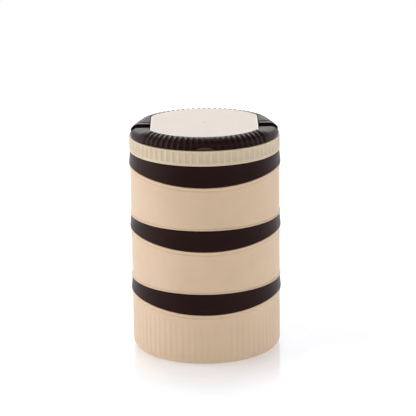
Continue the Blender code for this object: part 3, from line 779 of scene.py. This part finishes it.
def rib_angles():
    """Angles with columns on each rib's middle and on both its edges, and one in each channel."""
    steps = [*RIB_STEPS, 0.5, *[1 - step for step in RIB_STEPS[:0:-1]]]
    return (np.arange(FLUTES)[:, None] + np.array(steps)).ravel() * math.tau / FLUTES


def lid_ring_grid(angles, seat, top):
    """The lid ring's profile. The wall is pulled in by the channel depth wherever the distance from the
    nearest rib, as a share of the pitch, is past the rib's edge and the height is inside the channels."""
    low, high = seat + CHANNEL_FOOT, top - CHANNEL_TOP
    ramp = CHANNEL_RAMP
    levels = [low - ramp, low - ramp / 2, low, low + ramp, (low + high) / 2]
    levels += [high - ramp, high, high + ramp / 2, high + ramp]
    plan = [
        (SHELL_INNER, seat + GAP, 0.3 * MM),
        (RIB_RADIUS, seat + GAP, 0.8 * MM),
        (RIB_RADIUS, seat + 1.7 * MM, 0.3 * MM),
        *[(RIB_RADIUS - 0.05 * MM, level, 0.0) for level in levels],
        (RIB_RADIUS - 0.1 * MM, top, 0.6 * MM),
        (SHELL_INNER, top, 0.3 * MM),
        *inside_plan(seat),
    ]
    radius, height = rounded(plan, angles)
    share = angles / math.tau * FLUTES % 1
    from_rib = np.minimum(share, 1 - share)
    across = smooth(from_rib, RIB_SHARE - EDGE_SHARE, RIB_SHARE + EDGE_SHARE)
    along = smooth(height, low - ramp, low + ramp) - smooth(height, high - ramp, high + ramp)
    outside = radius > RIB_RADIUS - 0.3 * MM
    radius = radius - CHANNEL_DEPTH * across * along * outside
    return female_wall(radius, height, angles, seat), height


def share_of(nodes, links, value, none, full):
    """A value turned into a share that is 0 at one limit and 1 at the other."""
    share = nodes.new("ShaderNodeMapRange")
    share.inputs["From Min"].default_value = none
    share.inputs["From Max"].default_value = full
    links.new(value, share.inputs["Value"])
    return share.outputs["Result"]


def tint_by(nodes, links, share, shader, colour):
    """The shader's colour so far, with another colour laid over it by a share."""
    mix = nodes.new("ShaderNodeMix")
    mix.data_type = "RGBA"
    links.new(share, mix.inputs["Factor"])
    links.new(shader.inputs["Base Color"].links[0].from_socket, mix.inputs[6])
    mix.inputs[7].default_value = (*colour, 1)
    links.new(mix.outputs[2], shader.inputs["Base Color"])


ring_plastic, ring_shader = moulded_plastic("ring_plastic", RING_CREAM, 0.42, 0.25, 0.03)
nodes, links = ring_plastic.node_tree.nodes, ring_plastic.node_tree.links
# Painted shade: from the ribs' radius in to the channel floors the colour turns to the darker cream, standing
# in for the shade in the channels.
painted_shade_radius = distance_from_axis(nodes, links)
channel_painted_shade = share_of(nodes, links, painted_shade_radius, RIB_RADIUS - 0.1 * MM, RIB_RADIUS - CHANNEL_DEPTH)
tint_by(nodes, links, channel_painted_shade, ring_shader, CHANNEL_PAINTED_SHADE)
scatter_in(ring_shader, CREAM_SCATTER, CREAM_DEPTHS)
ribbed_angles = rib_angles()
grid = lid_ring_grid(ribbed_angles, SEATS["top"], RING_HIGH.z)
grip_ring = add_turned("lid_grip_ring", *grid, ribbed_angles, ring_plastic)
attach(grip_ring, "lid")
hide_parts("lid_ring")

# ---------------------------------------------------------------------------------------------------------
# Lid deck. A dark plate with a hollow island in its middle, which carries the disc and the handles' hinge
# pins. The deck shows between the handle ends, and two low stops stand in the handles' thumb notches.
# ---------------------------------------------------------------------------------------------------------
DISC_LOW, DISC_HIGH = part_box("lid_disc")
FRAME_LOW, FRAME_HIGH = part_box("lid_frame")
DISC_RADIUS = DISC_HIGH.y
DISC_CHORD = DISC_HIGH.x
DECK_BROWN = (0.085, 0.024, 0.014)
DECK_THICKNESS = 1.2 * MM
DECK_TOP = FRAME_LOW.z + DECK_THICKNESS
ISLAND_INSET = 0.6 * MM
ISLAND_RADIUS = DISC_RADIUS - ISLAND_INSET
ISLAND_CHORD = DISC_CHORD - GAP
ISLAND_WALL = 2.4 * MM
STOP_HEIGHT = 3.3 * MM
STOP_HALF = 9.0 * MM
STOP_THICKNESS = 1.0 * MM
CORNER_POWER = 140
deck_angles = angles_of(360)


def outline(angles, radius, chord):
    """A circle cut by two straight sides at -chord and +chord in X, its corners softened by a power mean:
    (radius^-p + (chord / |sin a|)^-p)^(-1/p)."""
    side = np.abs(np.sin(angles)) / chord
    return (radius**-CORNER_POWER + side**CORNER_POWER) ** (-1 / CORNER_POWER)


def deck_grid(angles):
    """The deck's profile: underside, rim, stops, top, island wall, and the pocket inside the island. A stop
    rises in front and behind by its height times 1 - (x / half width)^4."""
    aside = np.abs(FRAME_HIGH.x * np.sin(angles))
    stop_top = DECK_TOP + STOP_HEIGHT * np.clip(1 - (aside / STOP_HALF) ** 4, 0, 1)
    outside = outline(angles, ISLAND_RADIUS, ISLAND_CHORD)
    inside = outline(angles, ISLAND_RADIUS - ISLAND_WALL, ISLAND_CHORD - ISLAND_WALL)
    plan = [
        (INNER_ROW, FRAME_LOW.z, 0.0),
        (FRAME_HIGH.x, FRAME_LOW.z, 0.3 * MM),
        (FRAME_HIGH.x, stop_top, 0.45 * MM),
        (FRAME_HIGH.x - STOP_THICKNESS, stop_top, 0.0),
        (FRAME_HIGH.x - 1.2 * STOP_THICKNESS, DECK_TOP, 0.0),
        (outside, DECK_TOP, 0.5 * MM),
        (outside, FRAME_HIGH.z, 0.3 * MM),
        (inside, FRAME_HIGH.z, 0.3 * MM),
        (inside, DECK_TOP, 0.8 * MM),
        (INNER_ROW, DECK_TOP, 0.0),
    ]
    return rounded(plan, angles, closed=False)


deck_plastic = moulded_plastic("deck_plastic", DECK_BROWN, 0.38, 0.2, 0.1)[0]
deck = add_turned("lid_deck", *deck_grid(deck_angles), deck_angles, deck_plastic, closed=False)
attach(deck, "lid")
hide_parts("lid_frame")

# ---------------------------------------------------------------------------------------------------------
# Lid disc. A flat cream cap that snaps onto the island, with two straight sides beside the handle ends, a
# rounded edge with a painted highlight along it, and the mark of the moulding gate, a small dot, at its
# centre.
# ---------------------------------------------------------------------------------------------------------
DISC_SIDE = 2.2 * MM
SNAP_WALL = 1.2 * MM
GATE_RADIUS = 1.0 * MM
GATE_DEPTH = 0.3 * MM
TOP_INSET = 0.05 * MM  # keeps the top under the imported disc's
DISC_CREAM = (0.81, 0.685, 0.59)
# the painted highlight along the disc's rounded edge and straight sides: its width in from the edge, and its
# near-white colour
RIM_HIGHLIGHT_WIDTH = 1.2 * MM
EDGE_PAINTED_HIGHLIGHT = (0.99, 0.96, 0.92)
GATE_TAN = (0.45, 0.30, 0.19)


def disc_grid(angles):
    """The disc's profile: the inside of its snap rim, the rim, the underside, the rounded edge and the top,
    whose last rows shrink from the outline to a round pit, the gate mark."""
    side_low = DISC_HIGH.z - DISC_SIDE
    snap = ISLAND_WALL + 2 * GAP

    def rim(inset):
        return outline(angles, ISLAND_RADIUS - snap - inset, ISLAND_CHORD - snap - inset)

    edge = outline(angles, DISC_RADIUS, DISC_CHORD)
    top = DISC_HIGH.z - TOP_INSET
    pit = DISC_HIGH.z - GATE_DEPTH
    plan = [
        (INNER_ROW, side_low, 0.0),
        (rim(SNAP_WALL), side_low, 0.3 * MM),
        (rim(SNAP_WALL), DISC_LOW.z, 0.2 * MM),
        (rim(0.0), DISC_LOW.z, 0.2 * MM),
        (rim(0.0), side_low, 0.3 * MM),
        (edge - 0.1 * MM, side_low, 0.3 * MM),
        (edge, top, 0.7 * MM),
        (edge - 3 * MM, top, 0.0),
        (30 * MM, top, 0.0),
        (GATE_RADIUS, top, 0.08 * MM),
        (GATE_RADIUS * 0.8, pit, 0.08 * MM),
        (GATE_RADIUS * 0.3, pit, 0.0),
    ]
    return rounded(plan, angles, closed=False)


disc_plastic, disc_shader = moulded_plastic("disc_plastic", DISC_CREAM, 0.46, 0.25, 0.02)
scatter_in(disc_shader, CREAM_SCATTER, CREAM_DEPTHS)
nodes, links = disc_plastic.node_tree.nodes, disc_plastic.node_tree.links
# Painted highlight: a near-white band along the round edge and the straight sides, standing in for the light
# that the rounded edge catches.
distance = distance_from_axis(nodes, links)
round_edge_highlight = share_of(nodes, links, distance, DISC_RADIUS - RIM_HIGHLIGHT_WIDTH, DISC_RADIUS - 0.9 * RIM_HIGHLIGHT_WIDTH)
place = nodes.new("ShaderNodeSeparateXYZ")
links.new(nodes.new("ShaderNodeTexCoord").outputs["Object"], place.inputs["Vector"])
aside = math_of(nodes, links, "ABSOLUTE", place.outputs["X"])
chord_edge_highlight = share_of(nodes, links, aside, DISC_CHORD - RIM_HIGHLIGHT_WIDTH, DISC_CHORD - 0.9 * RIM_HIGHLIGHT_WIDTH)
rim_painted_highlight = math_of(nodes, links, "MAXIMUM", round_edge_highlight, chord_edge_highlight)
tint_by(nodes, links, rim_painted_highlight, disc_shader, EDGE_PAINTED_HIGHLIGHT)
in_gate = share_of(nodes, links, distance, GATE_RADIUS, GATE_RADIUS * 0.9)
tint_by(nodes, links, in_gate, disc_shader, GATE_TAN)
cap = add_turned("lid_cap", *disc_grid(deck_angles), deck_angles, disc_plastic, closed=False)
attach(cap, "lid")
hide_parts("lid_disc")

# ---------------------------------------------------------------------------------------------------------
# Handles. Two dark half rings that lie flat round the disc. The back of each is a quarter round with a comb
# of scooped ribs, its ends are smooth pads, and a thumb notch is cut into its lower edge halfway along.
# ---------------------------------------------------------------------------------------------------------
HANDLE_LOW, HANDLE_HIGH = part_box("handle_front")
HANDLE_OUTER = HANDLE_HIGH.x
DISC_GAP = 0.6 * MM
HANDLE_INNER = DISC_RADIUS + DISC_GAP
HANDLE_END = -HANDLE_HIGH.y
GRIP_TOP = HANDLE_HIGH.z - HANDLE_LOW.z
END_TOP = 7.5 * MM
END_ROUND = 7.0 * MM
GRIP_START = 40.0 * MM
PAD_X = DISC_CHORD + DISC_GAP
PIVOT_Y = 10.0 * MM  # the hinge pins' axes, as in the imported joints
PIVOT_Z = 208.0 * MM
RIB_PITCH = math.radians(4.9)
RIBBED = 11 * RIB_PITCH  # either side of the middle
RIB_SCOOP = 0.7 * MM
NOTCH_HALF = 10.0 * MM
NOTCH_HEIGHT = 3.6 * MM
NOTCH_WALL = (4.8 * MM, 4.2 * MM)  # inward from the outside, where the notch's back wall slopes
BACK_POWER = 1.25
EDGE_ROUND = 0.6 * MM
FOOT_EDGE = 0.8 * MM
OUTER_LOW = 1.2 * MM
END_EASE = 0.6 * MM
END_RUN = 4.0 * MM
END_DROP = 0.22 * MM


def handle_section(width, flat, top):
    """Each point round the sections: its distance out from the inner wall, its height over the handle's
    underside, and how far a rib's scoop moves it inward and down. The inputs are columns with a row for each
    section. In turn come the inner wall, its rounded edge, the flat of the top, the quarter ellipse of the
    back, out = flat + (width - flat) (sin b)^1.25 and up = low + (top - low) cos b, and the foot."""
    blank = 0 * width
    bend = np.radians(np.linspace(0, 90, 6))
    back = np.radians(np.linspace(0, 90, 25))
    across = np.sin(back) ** BACK_POWER
    wall, spread = np.linspace(0, 1, 5)[:-1], np.linspace(0, 1, 9)[1:-1]
    under = np.array([1.0, 2.0, 3.0, 4.2, 4.5, 4.8, 7.5]) * MM
    foot, edge = FOOT_EDGE, EDGE_ROUND
    parts = [
        (blank, foot + (top - edge - foot) * wall, 0, 0),
        (edge * (1 - np.cos(bend)), top - edge * (1 - np.sin(bend)), 0, np.sin(bend) ** 2),
        (edge + (flat - edge) * spread, top + 0 * spread, 0, 1),
        (
            flat + (width - flat) * across,
            OUTER_LOW + (top - OUTER_LOW) * np.cos(back),
            np.sin(back),
            np.cos(back),
        ),
        (width - foot * (1 - np.cos(bend[1:])), foot * (1 - np.sin(bend[1:])), np.cos(bend[1:]), 0),
        (width - under, 0, 0, 0),
        (foot * (1 - np.sin(bend[:-1])), foot * (1 - np.cos(bend[:-1])), 0, 0),
    ]
    spans = [np.broadcast_arrays(*[blank + value for value in part]) for part in parts]
    return [np.concatenate(pieces, axis=1) for pieces in zip(*spans)]


def handle_stations():
    """Where the front handle's sections stand, from left to right: their angles, their distances from the
    centre line where they are cut square (nan where they are radial), and their inset at the rounded ends."""
    ribs = np.linspace(-RIBBED, RIBBED, 221)
    last = math.acos((PIVOT_Y + 5 * MM) / HANDLE_OUTER)
    pad = np.linspace(RIBBED, last, 22)[1:]
    radial = np.concatenate([-pad[::-1], ribs, pad])
    tilt = np.radians([0, 20, 45, 70, 90])
    square = np.linspace(PIVOT_Y + 3.5 * MM, HANDLE_END + END_EASE, 12)[:-1]
    square = np.concatenate([square, HANDLE_END + END_EASE * (1 - np.sin(tilt))])
    inset = np.concatenate([np.zeros(11), END_EASE * (1 - np.cos(tilt))])
    turn = np.arccos(square / PAD_X)
    angles = np.concatenate([-turn[::-1], radial, turn])
    cut = np.concatenate([square[::-1], np.full(len(radial), np.nan), square])
    return angles[:, None], cut[:, None], np.concatenate([inset[::-1], 0 * radial, inset])[:, None]


def handle_grid():
    """Points of the front handle, a row for each section and a column for each point round it. The scoops
    follow 1 - (2 f - 1)^2 across a rib's pitch, so the ribs are sharp and the hollows round. The thumb notch
    and the clearance under each end, an arc round the pivot, lift the underside."""
    angles, cut, inset = handle_stations()
    square = ~np.isnan(cut)
    inner = np.minimum(HANDLE_INNER, PAD_X / np.maximum(np.abs(np.sin(angles)), 0.1))
    away = np.where(square, np.nan_to_num(cut), HANDLE_OUTER * np.cos(angles))
    grip = smooth(away, HANDLE_END, GRIP_START)
    width = HANDLE_OUTER - inner
    top = END_TOP + (GRIP_TOP - END_TOP) * grip
    top = top - END_DROP * np.clip((HANDLE_END + END_RUN - away) / END_RUN, 0, 1) ** 2
    flat = (EDGE_ROUND + 0.1 * MM) * grip + (width - END_ROUND) * (1 - grip)
    out, up, scoop_out, scoop_up = handle_section(width, flat, top)
    comb = 1 - (2 * (angles / RIB_PITCH % 1) - 1) ** 2
    depth = RIB_SCOOP * comb * (np.abs(angles) < RIBBED)
    out, up = out - depth * scoop_out, up - depth * scoop_up
    arch = np.clip(1 - (np.abs(angles) * HANDLE_OUTER / NOTCH_HALF) ** 4, 0, 1)
    notch = NOTCH_HEIGHT * arch * smooth(out, width - NOTCH_WALL[0], width - NOTCH_WALL[1])
    reach = PIVOT_Z - HANDLE_LOW.z
    beyond = np.clip(PIVOT_Y - away, 0, reach)
    lifted = reach - np.sqrt(reach**2 - beyond**2)
    up = np.maximum(lifted + up * (top - lifted) / top, notch)
    out += (0.5 * width - out) * inset / (0.5 * width)
    up += (0.5 * (top + lifted) - up) * inset / (0.5 * top)
    radius = inner + out
    squared = np.sign(angles) * np.arccos(np.nan_to_num(cut) / radius)
    turned = np.where(square, squared, angles)
    return radius * np.sin(turned), -radius * np.cos(turned), HANDLE_LOW.z + up


handle_plastic, handle_shader = moulded_plastic("handle_plastic", BROWN, 0.34, 0.12, 0.12)
handle_shader.inputs["Specular IOR Level"].default_value = 0.12
handle_shader.inputs["Specular Tint"].default_value = (1.0, 0.75, 0.73, 1)
x, y, z = handle_grid()
for word, facing in (("front", 1), ("rear", -1)):
    half_ring = add_grid(f"{word}_half_ring", facing * x, facing * y, z, False, handle_plastic)
    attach(half_ring, f"{word}_handle")
    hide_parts(f"handle_{word}")

# ---------------------------------------------------------------------------------------------------------
# Hinge pins. Four short steel pins with a flat head inside the island. Each passes out through the island's
# wall into the end of a handle, which turns on it.
# ---------------------------------------------------------------------------------------------------------
PIN_RADIUS = 1.5 * MM
PIN_HEAD_RADIUS = 2.1 * MM
PIN_HEAD = 1.0 * MM
PIN_END_ROW = 0.3 * MM
pin_angles = angles_of(40)


def pin_grid(start, end, centre_y, centre_z):
    """A headed pin along X: rows of circles from the head's face to the rounded tip."""
    plan = [
        (PIN_END_ROW, start, 0.0),
        (PIN_HEAD_RADIUS, start, 0.3 * MM),
        (PIN_HEAD_RADIUS, start + PIN_HEAD, 0.15 * MM),
        (PIN_RADIUS, start + PIN_HEAD, 0.1 * MM),
        (PIN_RADIUS, end, 0.5 * MM),
        (PIN_END_ROW, end, 0.0),
    ]
    radius, along = rounded(plan, pin_angles, closed=False)
    return along + 0 * radius, centre_y + radius * np.cos(pin_angles), centre_z + radius * np.sin(pin_angles)


for word, side in (("front", -1), ("rear", 1)):
    for hand, end in (("left", -1), ("right", 1)):
        node = f"pin_{word}_{hand}"
        near, far = sorted(abs(corner.x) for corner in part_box(node))
        px, py, pz = pin_grid(near, far, side * PIVOT_Y, PIVOT_Z)
        py = end * (py - side * PIVOT_Y) + side * PIVOT_Y
        pin = add_grid(f"{node}_steel", end * px, py, pz, False, steel)
        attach(pin, "lid")
        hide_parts(node)
